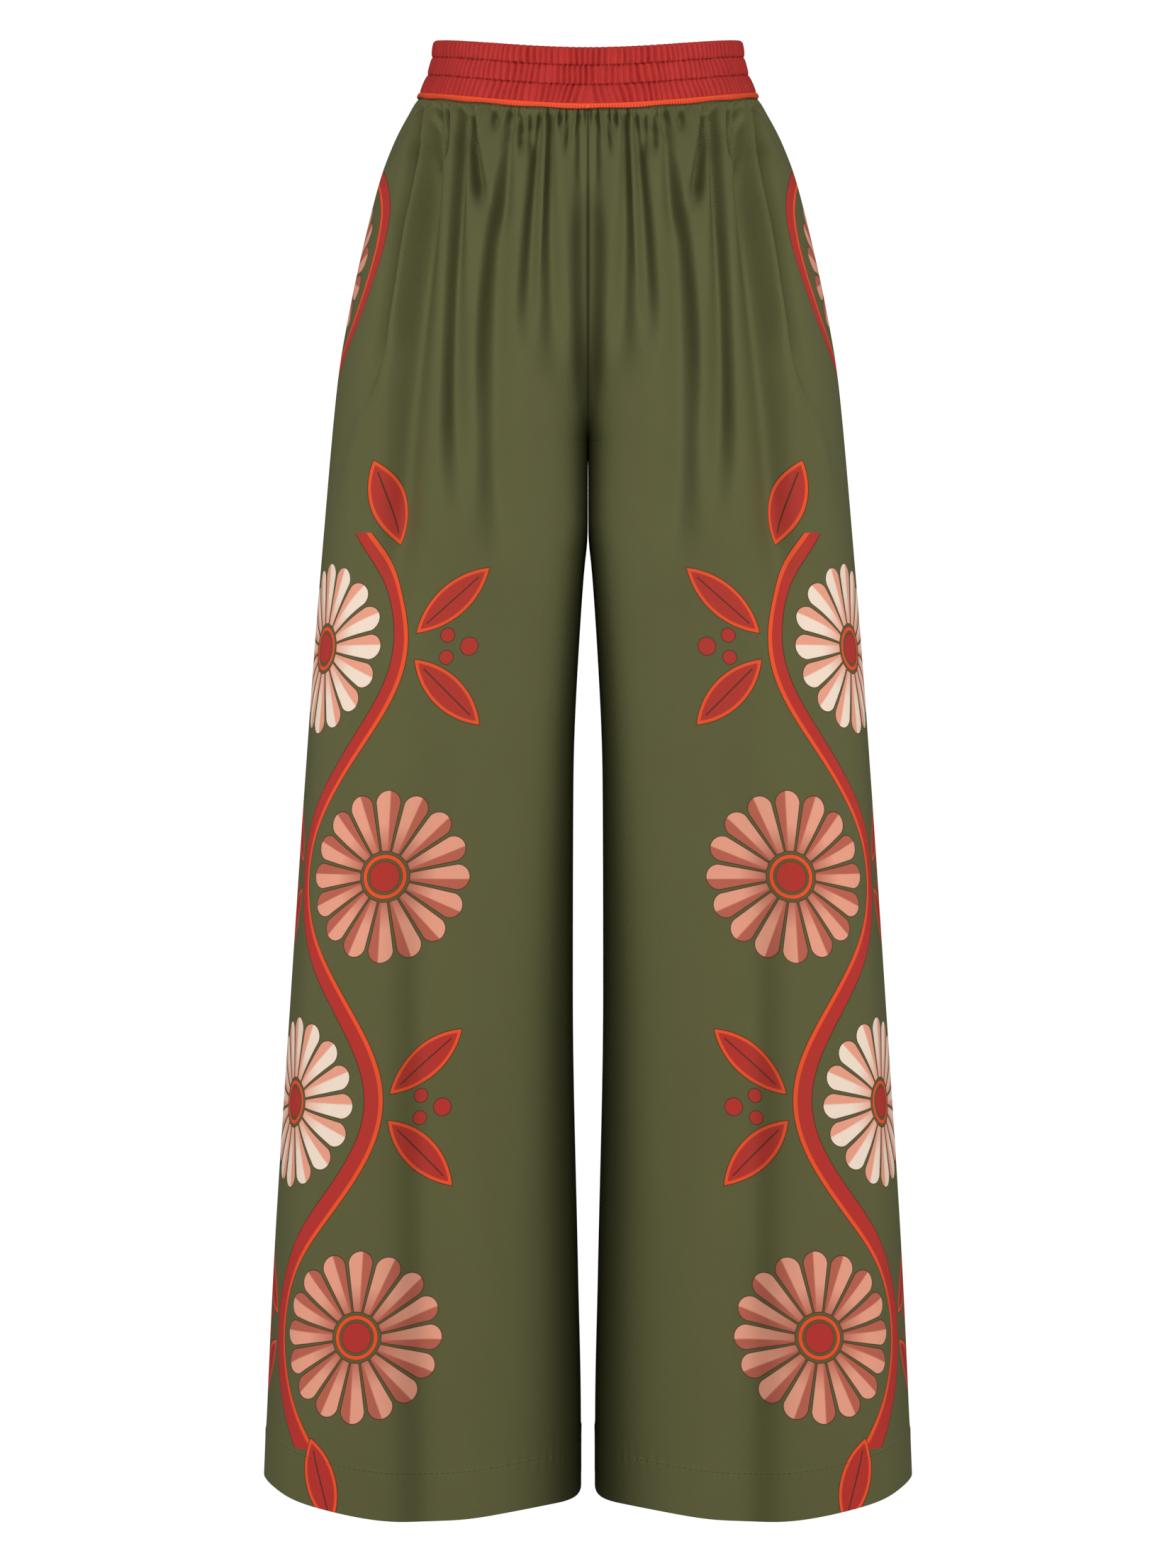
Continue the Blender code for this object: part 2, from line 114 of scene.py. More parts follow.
BACK_FOLDS = [
    Fold(0.1195, 0.1373, 0.1455, -0.010, -0.191, 0.0060, 0.0078, -0.0024),
    Fold(0.1195, 0.1375, 0.1457, -0.010, -0.178, 0.0018, 0.0023, -0.0009),
    Fold(0.1120, 0.1124, 0.1129, -0.010, -0.063, 0.0030, 0.0032, 0.0033),
    Fold(0.1040, 0.1049, 0.1051, -0.010, -0.047, 0.0034, 0.0036, 0.0027),
    Fold(0.0950, 0.1004, 0.1042, -0.005, -0.300, 0.0044, 0.0080, 0.0060),
    Fold(0.0830, 0.0804, 0.0777, -0.010, -0.100, 0.0034, 0.0038, 0.0045),
    Fold(0.0740, 0.0745, 0.0745, -0.012, -0.054, 0.0030, 0.0034, 0.0030),
    Fold(0.0640, 0.0693, 0.0746, -0.005, -0.256, 0.0040, 0.0075, 0.0066),
    Fold(0.0560, 0.0595, 0.0631, -0.030, -0.198, 0.0018, 0.0025, -0.0012),
    Fold(0.0500, 0.0505, 0.0505, -0.012, -0.070, 0.0028, 0.0032, 0.0036),
    Fold(0.0400, 0.0474, 0.0501, -0.005, -0.292, 0.0034, 0.0070, 0.0057),
    Fold(0.0310, 0.0312, 0.0312, -0.012, -0.060, 0.0026, 0.0030, 0.0033),
    Fold(0.0200, 0.0236, 0.0257, -0.005, -0.203, 0.0034, 0.0061, 0.0048),
    Fold(0.0110, 0.0106, 0.0101, -0.012, -0.081, 0.0026, 0.0031, 0.0033),
    Fold(0.0000, 0.0000, 0.0000, -0.080, -0.258, 0.0055, 0.0068, 0.0080),
    Fold(0.1300, 0.1327, 0.1346, -0.190, -0.446, 0.0140, 0.0158, 0.0030),
    Fold(0.1050, 0.1000, 0.0900, -0.360, -1.500, 0.0260, 0.0280, 0.0060),
    Fold(0.1700, 0.1760, 0.1800, -0.300, -1.500, 0.0260, 0.0280, 0.0060),
]
FOLD_ONSET = 0.12  # share of its length over which a fold begins
FOLD_FADE = 0.70  # share of its length after which it fades
SEAM_CALM = 0.10  # share of a panel, next to its seams, where the folds fade
SLOPE_STEP = 1e-6  # for the cloth's slopes

# How the cloth leaves the waist seam. Heights count down from the seam.
WAIST_CALM = 0.003  # folds and gathers reach their depth within this much of the seam
FOLDS_AT_SEAM = 0.2  # share of their depth that they have at the seam itself
GATHERS_AT_SEAM = 0.5
FREE_ABOVE = -0.0028  # behind the binding, the cloth is flat above this height
FREE_BELOW = -0.0004  # and free below this one
TUCK_HEIGHT = 0.0034  # how far the panels go up behind the binding
TUCK_DEPTH = 0.0009  # how far they go in under it
TUCK_LENGTH = 0.0035
TUCK_ABOVE = 0.0010  # how much further in they go behind it
TUCK_TURN = 0.0012

# Fine gathers along the waist seam. A wave's length is that over which its sine turns by one radian.
Wave = collections.namedtuple("Wave", "size length phase")
SIDE_PHASE = {"front": 0, "back": 2.4}  # keeps the back's gathers from being the front's
GATHER_PITCH = 0.0056
GATHER_DEPTH = 0.0027
GATHER_SHARPNESS = 1.3
GATHER_LENGTH = 0.011  # how far down they run
GATHER_FADE = 1.5
GATHER_CALM = 0.04  # share of a panel, next to the side seam
GATHER_WANDER = [Wave(0.9, 0.0131, 0), Wave(0.7, 0.0307, 2)]
GATHER_UNEVEN = 0.55  # how much their lengths differ
GATHER_BEATS = (0.0087, 0.0213)
# Wide gathers under them, as in the solids
SOFT_GATHERS = 12
SOFT_DEPTH = 0.0006
SOFT_LENGTH = 0.030
SOFT_WANDER = 0.3
SOFT_TURN = 7
WAIST_ARC = 0.177  # of a panel, as gathered

# Thin cloth on the solids' form
SILK_WALL = 0.0006
HEM_DEPTH = 0.0340  # of the turned-up hem
HEM_STEP = 0.0004  # how far the double cloth stands out
HEM_EDGE = (0.0012, -0.0004)  # above and below the stitched line
PUCKER_DEPTH = 0.00018  # of the puckers that the hem's stitches pull
PUCKER_HEIGHT = 0.006
PUCKER_LENGTH = 0.0011
PUCKER_WANDER = 0.017
SEAM_DIP = 0.0005  # groove at a panel's own edges
SEAM_DIP_WIDTH = 0.0016

# Columns of a panel, from the side seam in, and rows: 0 at its top, 1 at the crotch and 2 at the hem.
# They are closest where the cloth bends most.
Run = collections.namedtuple("Run", "first last count")
EDGE_COLUMNS = (0, 0.0012, 0.0028, 0.0050, 0.0080)
COLUMNS = [Run(0.0130, 0.64, 90), Run(0.64, 0.90, 62), Run(0.90, 0.9880, 34)]
TUCK_ROWS = Run(0, 0.015, 6)
HIP_ROWS = Run(0.015, 0.8282, 72)
HIP_SPREAD = 1.25  # these rows grow apart on the way down
FORK_ROWS = [Run(0.8282, 1, 28), Run(1, 1.02, 8), Run(1.02, 1.10, 16)]
LEG_ROWS = 66
HEM_ROWS = 5  # on each side of the hem's stitched line
LAST_ROWS = 7
ROW_STEP = 0.0016

# The waistband. Heights are shares of its own, counted down, and its seams are at share 0.
BAND_LINES = (0.319, 0.660)  # its two stitched lines
BAND_WALL = 0.0032
BAND_COLUMNS = 592
BAND_ROWS = 34
BAND_LINE_ROWS = (-0.012, 0, 0.012)  # more rows at each line
BAND_PUFF = 0.0011  # how far a casing stands out between its lines
BAND_PUFF_POWER = 0.55
BAND_LINE_WIDTH = 0.030
BAND_LINE_DEPTH = 0.0003
BAND_LINE_GATHER = 0.15  # how much deeper the gathers are in a line
BAND_TOP_ROUND = 0.030  # the top edge turns in over this height
BAND_TOP_LEAST = 0.35  # share of the relief that is left on it
BAND_TOP_IN = 0.0008
BAND_SCALLOP = 0.00035  # how far the gathers notch it
BAND_SEAM_WIDTH = 0.010
BAND_SEAM_CALM = 0.03
BAND_LINING_IN = 0.0022
BAND_LINING_GATHER = 0.6  # share of the gathers that shows inside

# Its gathers
BAND_SIDE_PHASE = {"front": 0, "back": 1.3}
BAND_PITCH = 0.0045
BAND_GATHER = 0.0040
BAND_SHARPNESS = 0.75
BAND_CASING_BLUR = 0.02
BAND_FAN_WIDTH = 0.018  # they fan out round the middle, in the first and the last casing
BAND_FAN_FIRST = 0.16
BAND_FAN_LAST = 0.28
# A shift's size, its length as a wave's, and how much each casing, the height and the side turn it
Shift = collections.namedtuple("Shift", "size length casing down side")
BAND_WANDER = [
    Shift(0.0012, 0.0137, 0.9, 0, 1),
    Shift(0.0007, 0.0052, 1.9, 0, 0),
    Shift(0.0003, 0.0091, 0, 9, 1),
]
BAND_BEATS = [Shift(1, 0.0093, 1.4, 0, 1), Shift(1, 0.0041, 2.2, 0, 0)]
BAND_DEPTHS = (0.72, 0.38)  # their usual depth, and how much it varies
BAND_FULL = (0.15, 0.75)  # they grow to their depth between these shares, from this much
BAND_LEAST = 0.40

# The binding, ribbed by its stitches
BINDING_RIBS = 250
BINDING_POINTS = 5  # columns for each rib
BINDING_ROWS = 9
BINDING_WALL = 0.0016
BINDING_PROUD = 0.0002
BINDING_PUFF = 0.0012
BINDING_PUFF_POWER = 0.5
BINDING_RIB_DEPTH = 0.00028
BINDING_RIB_POWER = 0.6
BINDING_RIB_LEAN = 0.7
BINDING_WAVE = 0.0002  # how far it wavers in and out, and its lower edge up and down
BINDING_WAVE_BEATS = (0.0043, 0.011)
BINDING_EDGE_WAVE = 0.0003
BINDING_EDGE_LENGTH = 0.0061


def smooth_curve(knots, values, at):
    """Values between rising knots on a curve that never swings past them (monotone cubic)."""
    knots, values, at = np.asarray(knots), np.asarray(values), np.asarray(at, float)
    step = np.diff(knots)
    slope = np.diff(values) / step
    mean = (slope[:-1] * step[1:] + slope[1:] * step[:-1]) / (step[1:] + step[:-1])
    limit = 3 * np.minimum(abs(slope[:-1]), abs(slope[1:]))
    inner = np.where(slope[:-1] * slope[1:] > 0, np.sign(mean) * np.minimum(abs(mean), limit), 0)
    tangent = np.concatenate([slope[:1], inner, slope[-1:]])
    i = np.clip(np.searchsorted(knots, at) - 1, 0, len(step) - 1)
    t = np.clip((at - knots[i]) / step[i], 0, 1)
    return (
        values[i] * (1 + 2 * t) * (1 - t) ** 2
        + tangent[i] * step[i] * t * (1 - t) ** 2
        + values[i + 1] * t**2 * (3 - 2 * t)
        - tangent[i + 1] * step[i] * t**2 * (1 - t)
    )


def section_at(z, name):
    rows = SECTIONS[::-1]
    return smooth_curve([row.z for row in rows], [getattr(row, name) for row in rows], z)


def smooth_step(low, high, x):
    t = np.clip((x - low) / (high - low), 0, 1)
    return t * t * (3 - 2 * t)


class Ring:
    """The rounded ring of a leg at each height, and its polar angles from the side seam."""

    def __init__(self, z, side):
        self.reach, inner, self.valley = (section_at(z, name) for name in ("reach", "inner", "valley"))
        self.outer_power, self.inner_power = section_at(z, "outer_power"), section_at(z, "inner_power")
        self.centre, self.half_width = (self.reach + inner) / 2, (self.reach - inner) / 2
        self.depth = section_at(z, side)
        self.last = self.angle_at(np.where(inner < 0, self.valley, inner))
        self.spread = math.pi / 2 * (1 + smooth_step(0, SPREAD_END, -z))
        self.pull = SEAM_PULL + CROTCH_PULL * np.exp(-(((z - CROTCH) / CROTCH_REACH) ** 2))

    def angle_at(self, across):
        """Angle of the point this far from the middle of the garment, before the fork is rounded."""
        share = np.clip((across - self.centre) / self.half_width, -1, 1)
        power = np.where(share > 0, self.outer_power, self.inner_power)
        return np.arctan2(self.depth * (1 - abs(share) ** power) ** (1 / power), share * self.half_width)

    def angle_of_place(self, x):
        """Angle of the point this far from the centre seam, with the fork rounded."""
        return self.angle_at(np.sqrt(x**2 * (1 - (self.valley / self.reach) ** 2) + self.valley**2))

    def angle_of_share(self, share):
        """Angle of a column of the panel. The columns next to the centre seam follow it round the crotch."""
        return share * self.spread + share**self.pull * (self.last - self.spread)

    def point(self, share):
        """Distances from the middle, before the fork is rounded, and from the side seams' plane."""
        angle = self.angle_of_share(share)
        cos, sin = np.cos(angle), np.sin(angle)
        power = np.where(cos > 0, self.outer_power, self.inner_power)
        radius = (abs(cos / self.half_width) ** power + abs(sin / self.depth) ** power) ** (-1 / power)
        return self.centre + radius * cos, radius * sin


def plain_point(share, z, side):
    """The cloth without its folds. share runs from 0 at the side seam to 1 at the centre seam or inseam."""
    ring = Ring(z, side)
    across, y = ring.point(share)
    across = np.maximum(across**2 - ring.valley**2, 0) / (ring.reach**2 - ring.valley**2)
    x = ring.reach * np.sqrt(across)
    return x, -y if side == "front" else y


def beyond(x, y, z, side):
    """Below zero inside the plain cloth, above it outside."""
    ring = Ring(z, side)
    from_fork = np.sqrt(x**2 * (1 - (ring.valley / ring.reach) ** 2) + ring.valley**2)
    across = (from_fork - ring.centre) / ring.half_width
    power = np.where(across > 0, ring.outer_power, ring.inner_power)
    return abs(across) ** power + abs(y / ring.depth) ** power - 1


def facing(points, side):
    """Unit normals of the plain cloth at these points."""
    x, y, z = np.moveaxis(points, -1, 0)
    slopes = [
        beyond(x + SLOPE_STEP, y, z, side) - beyond(x - SLOPE_STEP, y, z, side),
        beyond(x, y + SLOPE_STEP, z, side) - beyond(x, y - SLOPE_STEP, z, side),
        beyond(x, y, z + SLOPE_STEP, side) - beyond(x, y, z - SLOPE_STEP, side),
    ]
    return unit(np.stack(slopes, axis=-1))


def waist_height(level, share, side):
    """Height, round the waist, of a line that lies at this level at the side seams."""
    down = np.minimum((BAND_TOP - level) / BAND_HEIGHT, 1)
    front_dip = FRONT_TOP_DIP + (FRONT_SEAM_DIP - FRONT_TOP_DIP) * down
    turned = np.sin(share * math.pi / 2) ** DIP_ROUNDING
    return level + turned * (-front_dip if side == "front" else BACK_RISE)


def waist_seam_height(share, side):
    return waist_height(BAND_TOP - BAND_HEIGHT - BINDING_HEIGHT - 2 * SEAM_GAP, share, side)


def hem_height(share):
    outer = HEM_OUTER_RISE * smooth_step(HEM_LOWEST, HEM_OUTER_END, share)
    return HEM_HEIGHT + outer + HEM_INNER_RISE * smooth_step(HEM_LOWEST, HEM_INNER_END, share)


def fold_height(share, z, side):
    """How far the folds and gathers of a panel stand out from the plain cloth."""
    ring = Ring(z, side)
    height = 0 * share * z
    for fold in FRONT_FOLDS if side == "front" else BACK_FOLDS:
        run = (z - fold.z_head) / (fold.z_foot - fold.z_head)
        along = np.clip(run, 0, 1)
        bend = 4 * along * (1 - along)
        x = fold.x_head + (fold.x_foot - fold.x_head) * along
        x = x + bend * (fold.x_middle - (fold.x_head + fold.x_foot) / 2)
        width = fold.width_head + (fold.width_foot - fold.width_head) * along
        turned = ring.angle_of_share(share) - ring.angle_of_place(x)
        away = turned * (ring.half_width + ring.depth) / 2 / width
        strength = smooth_step(-FOLD_ONSET, FOLD_ONSET, run) * (1 - smooth_step(FOLD_FADE, 1, run))
        height = height - fold.depth * strength * np.exp(-(away**2))
    return height * smooth_step(0, SEAM_CALM, share)


def held(below, least):
    """How free the cloth is, this far below the waist seam: this little at the seam, and not at all above."""
    freed = least + (1 - least) * smooth_step(0, WAIST_CALM, below)
    return freed * smooth_step(FREE_ABOVE, FREE_BELOW, below)


def waist_gathers(share, below, side):
    """The fine gathers that the waist seam takes up, the wider ones under them, and the tuck at the seam."""
    phase = SIDE_PHASE[side]
    arc = share * WAIST_ARC
    under = np.maximum(below, 0)
    wander = sum(wave.size * np.sin(arc / wave.length + wave.phase + phase) for wave in GATHER_WANDER)
    ridge = abs(np.sin(math.pi * arc / GATHER_PITCH + wander)) ** GATHER_SHARPNESS
    first, second = GATHER_BEATS
    length = GATHER_LENGTH * (1 + GATHER_UNEVEN * np.sin(arc / first + phase) * np.sin(arc / second + 1))
    fine = GATHER_DEPTH * (ridge - 1) * np.exp(-((under / length) ** GATHER_FADE))
    drift = SOFT_WANDER * np.sin(SOFT_TURN * share + phase) * np.sin(math.pi * share)
    soft = -SOFT_DEPTH * np.exp(-below / SOFT_LENGTH) * np.cos(2 * math.pi * (SOFT_GATHERS * share + drift))
    tuck = TUCK_DEPTH * np.exp(-((under / TUCK_LENGTH) ** 2)) + TUCK_ABOVE * smooth_step(0, TUCK_TURN, -below)
    return (fine + soft) * held(below, GATHERS_AT_SEAM) * smooth_step(0, GATHER_CALM, share) - tuck


def unit(vectors):
    return vectors / np.maximum(np.linalg.norm(vectors, axis=-1, keepdims=True), 1e-12)


def run_length(points, axis):
    """Distance along the grid's rows (axis 1) or columns (axis 0) from their first point."""
    steps = np.linalg.norm(np.diff(points, axis=axis), axis=-1)
    first = np.zeros_like(steps.take([0], axis=axis))
    return np.concatenate([first, np.cumsum(steps, axis=axis)], axis=axis)


def spaced(run, whole=False):
    """Even steps over a run, with its last value only where it is taken whole."""
    return np.linspace(run.first, run.last, run.count, endpoint=whole)


def panel_columns():
    edge = np.array(EDGE_COLUMNS)
    first, second, last = COLUMNS
    return np.concatenate([edge, spaced(first), spaced(second), spaced(last, whole=True), 1 - edge[::-1]])


def panel_rows():
    hem_line = 2 - HEM_DEPTH / (CROTCH - HEM_HEIGHT)
    over, under = hem_line - HEM_ROWS * ROW_STEP, hem_line + HEM_ROWS * ROW_STEP
    hips = Run(HIP_ROWS.first ** (1 / HIP_SPREAD), HIP_ROWS.last ** (1 / HIP_SPREAD), HIP_ROWS.count)
    return np.concatenate(
        [
            spaced(TUCK_ROWS),
            spaced(hips) ** HIP_SPREAD,
            *(spaced(run) for run in FORK_ROWS),
            spaced(Run(FORK_ROWS[-1].last, over, LEG_ROWS)),
            spaced(Run(over, under, 2 * HEM_ROWS + 1), whole=True),
            spaced(Run(under + ROW_STEP, 2 - 2 * ROW_STEP, LAST_ROWS), whole=True),
            [2 - ROW_STEP, 2 - ROW_STEP / 2, 2],
        ]
    )


def panel_heights(share, down, side):
    """Heights of a panel's points. Next to the centre seam the rows run ahead, down to the crotch."""
    upper, lower = np.minimum(down, 1), np.maximum(down - 1, 0)
    near_fork = np.maximum(upper - LEAD_START, 0) / (1 - LEAD_START)
    lead = 1 - (1 - near_fork) ** LEAD_POWER - near_fork
    upper = upper + (1 - LEAD_START) * lead * share**SEAM_PULL
    top = waist_seam_height(share, side) + TUCK_HEIGHT
    return top * (1 - upper) + CROTCH * upper + (hem_height(share) - CROTCH) * lower


def panel(side):
    """Outer and inner grids of a left leg panel, with its maps.

    Both maps count across from the side seam, the print's down from the waist and the trim's up from the hem.
    """
    share, down = np.meshgrid(panel_columns(), panel_rows())
    z = panel_heights(share, down, side)
    x, y = plain_point(share, z, side)
    plain = np.stack([x, y, z], axis=-1)
    across = run_length(plain, 1)
    to_centre = across[:, -1:] - across
    above_hem = run_length(plain[::-1], 0)[::-1]
    below = waist_seam_height(share, side) - z
    height = fold_height(share, z, side) * held(below, FOLDS_AT_SEAM) + waist_gathers(share, below, side)
    doubled = smooth_step(*HEM_EDGE, above_hem - HEM_DEPTH)
    near_line = np.exp(-(((above_hem - HEM_DEPTH) / PUCKER_HEIGHT) ** 2))
    pucker = np.sin(across / PUCKER_LENGTH + 2 * np.sin(across / PUCKER_WANDER))
    height = height + HEM_STEP * doubled + PUCKER_DEPTH * near_line * pucker
    for from_seam in (across, to_centre):
        height = height - SEAM_DIP * np.exp(-((from_seam / SEAM_DIP_WIDTH) ** 2))
    normal = facing(plain, side)
    away = normal.copy()
    away[..., 0] *= 1 - smooth_step(1 - SEAM_CALM, 1, share)
    outer = plain + height[..., None] * away
    inner = outer - (SILK_WALL * (1 + doubled))[..., None] * normal
    maps = {
        "print": np.stack([across, -z], axis=-1),
        "trim": np.stack([across, above_hem], axis=-1),
    }
    return outer, inner, maps


def shell(name, outer, inner, maps, finish):
    """A closed thin sheet between two grids of points. Each map gives the grid's points their UV."""
    rows, columns = outer.shape[:2]
    count = rows * columns
    index = np.arange(count).reshape(rows, columns)
    quads = np.stack([index[:-1, :-1], index[1:, :-1], index[1:, 1:], index[:-1, 1:]], axis=-1).reshape(-1, 4)
    border = np.concatenate([index[0], index[1:, -1], index[-1, -2::-1], index[-2:0:-1, 0]])
    after = np.roll(border, -1)
    rim = np.stack([border, after, after + count, border + count], axis=-1)
    faces = np.concatenate([quads, quads[:, ::-1] + count, rim])
    middle = index[rows // 2, columns // 2]
    points = np.concatenate([outer.reshape(-1, 3), inner.reshape(-1, 3)])
    quad = points[quads[(rows // 2) * (columns - 1) + columns // 2]]
    normal = np.cross(quad[1] - quad[0], quad[2] - quad[0])
    if normal @ (points[middle] - points[middle + count]) < 0:
        faces = faces[:, ::-1]
    mesh = bpy.data.meshes.new(name)
    mesh.from_pydata(points.tolist(), [], faces.tolist())
    smooth = np.ones(len(faces), bool)
    smooth[-len(rim) :] = False
    mesh.polygons.foreach_set("use_smooth", smooth)
    corners = np.empty(len(mesh.loops), np.int32)
    mesh.loops.foreach_get("vertex_index", corners)
    for key, places in maps.items():
        both = np.tile(places.reshape(-1, 2), (2, 1))
        mesh.uv_layers.new(name=key).uv.foreach_set("vector", both[corners].astype(np.float32).ravel())
    mesh.materials.append(finish)
    thing = bpy.data.objects.new(name, mesh)
    bpy.context.scene.collection.objects.link(thing)
    return thing


def trim_map(across, down):
    return {"trim": np.stack(np.broadcast_arrays(across, down), axis=-1)}


def half_ring(side, columns):
    """Turn from one side seam to the other, share, and arc length from the centre at the waist."""
    turn = np.linspace(-1, 1, columns + 1)
    share = 1 - abs(turn)
    x, y = plain_point(share, 0.0, side)
    arc = run_length(np.stack([np.sign(turn) * x, y], axis=-1)[None], 1)[0]
    return turn, share, arc - arc[-1] / 2


def ring_points(side, turn, share, level, proud):
    """Points this proud of the waist's plain surface, on lines that lie at these levels at the side seams."""
    z = waist_height(level, share, side)
    x, y = plain_point(share, z, side)
    normal_x = x / section_at(z, "reach") ** 2
    normal_y = abs(y) / section_at(z, side) ** 2
    length = np.hypot(normal_x, normal_y)
    x = (x + proud * normal_x / length) * np.sign(turn)
    y = np.maximum(abs(y) + proud * normal_y / length, 0) * (-1 if side == "front" else 1)
    return np.stack([x, y, z], axis=-1)


def shifted(shifts, arc, casing, down, phase):
    """One wave along the waistband for each of these shifts."""
    waves = []
    for shift in shifts:
        turned = shift.casing * casing + shift.down * down + shift.side * phase
        waves.append(shift.size * np.sin(arc / shift.length + turned))
    return waves


def band_gathers(arc, down, share, side):
    """Height of the waistband's gathers, 0 at the ridges and below it in the valleys."""
    phase = BAND_SIDE_PHASE[side]
    first, second = BAND_LINES
    casing = sum(smooth_step(line - BAND_CASING_BLUR, line + BAND_CASING_BLUR, down) for line in BAND_LINES)
    near_centre = np.exp(-((arc / BAND_FAN_WIDTH) ** 2))
    in_last = np.clip((down - second) / (1 - second), 0, 1)
    in_first = np.clip(1 - down / first, 0, 1)
    fan = 1 - near_centre * (BAND_FAN_LAST * in_last + BAND_FAN_FIRST * in_first)
    place = arc * fan + sum(shifted(BAND_WANDER, arc, casing, down, phase))
    ridge = abs(np.sin(math.pi * place / BAND_PITCH)) ** BAND_SHARPNESS
    uneven = math.prod(shifted(BAND_BEATS, arc, casing, down, phase))
    full = BAND_LEAST + (1 - BAND_LEAST) * smooth_step(*BAND_FULL, share)
    usual, varied = BAND_DEPTHS
    return -(1 - ridge) * full * (usual + varied * uneven)


def waistband(side):
    """Outer and inner grids of half a waistband: three casings that puff out between the stitched lines."""
    turn, share, arc = half_ring(side, BAND_COLUMNS)
    line_rows = np.add.outer(BAND_LINES, BAND_LINE_ROWS).ravel()
    share, down = np.meshgrid(share, np.unique(np.concatenate([np.linspace(0, 1, BAND_ROWS), line_rows])))
    bounds = [0, *BAND_LINES, 1]
    puff = 0 * down
    for first, last in zip(bounds, bounds[1:]):
        t = np.clip((down - first) / (last - first), 0, 1)
        puff = np.maximum(puff, (4 * t * (1 - t)) ** BAND_PUFF_POWER)
    line = sum(np.exp(-(((down - place) / BAND_LINE_WIDTH) ** 2)) for place in BAND_LINES)
    gathers = band_gathers(arc, down, share, side)
    calm = smooth_step(0, BAND_SEAM_CALM, share)
    top = np.sqrt(np.clip(down / BAND_TOP_ROUND, 0, 1))
    gathered = BAND_GATHER * gathers * calm * (1 + BAND_LINE_GATHER * line)
    proud = BAND_PUFF * puff + gathered - BAND_LINE_DEPTH * line
    proud = proud * (BAND_TOP_LEAST + (1 - BAND_TOP_LEAST) * top) - BAND_TOP_IN * (1 - top)
    proud = proud - SEAM_DIP * np.exp(-((share / BAND_SEAM_WIDTH) ** 2))
    scallop = BAND_SCALLOP * band_gathers(arc, 0 * down, share, side) * (1 - top)
    level = BAND_TOP + scallop - (BAND_HEIGHT + SEAM_GAP) * down
    outer = ring_points(side, turn, share, level, proud)
    lining = -BAND_WALL + BAND_LINING_IN * (1 - top) + BAND_LINING_GATHER * BAND_GATHER * gathers * top
    inner = ring_points(side, turn, share, level, lining)
    return outer, inner, trim_map(arc, down * BAND_HEIGHT)


def binding(side):
    """Outer and inner grids of half the binding, ribbed by its close stitches."""
    turn, share, arc = half_ring(side, BINDING_POINTS * BINDING_RIBS)
    share, down = np.meshgrid(share, np.linspace(0, 1, BINDING_ROWS))
    rib = abs(np.cos(BINDING_RIBS * math.pi * turn / 2 + BINDING_RIB_LEAN * down)) ** BINDING_RIB_POWER
    puff = (4 * down * (1 - down)) ** BINDING_PUFF_POWER
    proud = BINDING_PROUD + BINDING_PUFF * puff + BINDING_RIB_DEPTH * (rib - 1) * puff
    first, second = BINDING_WAVE_BEATS
    proud = proud + BINDING_WAVE * np.sin(arc / first) * np.sin(arc / second)
    edge = BINDING_EDGE_WAVE * np.sin(arc / BINDING_EDGE_LENGTH) * down
    level = BAND_TOP - BAND_HEIGHT - BINDING_HEIGHT * down + edge
    outer = ring_points(side, turn, share, level, proud)
    inner = ring_points(side, turn, share, level, proud - BINDING_WALL)
    return outer, inner, trim_map(arc, down * BINDING_HEIGHT)


MIX_FIRST, MIX_SECOND, MIX_COLOUR = 6, 7, 2  # a mix node's colour sockets


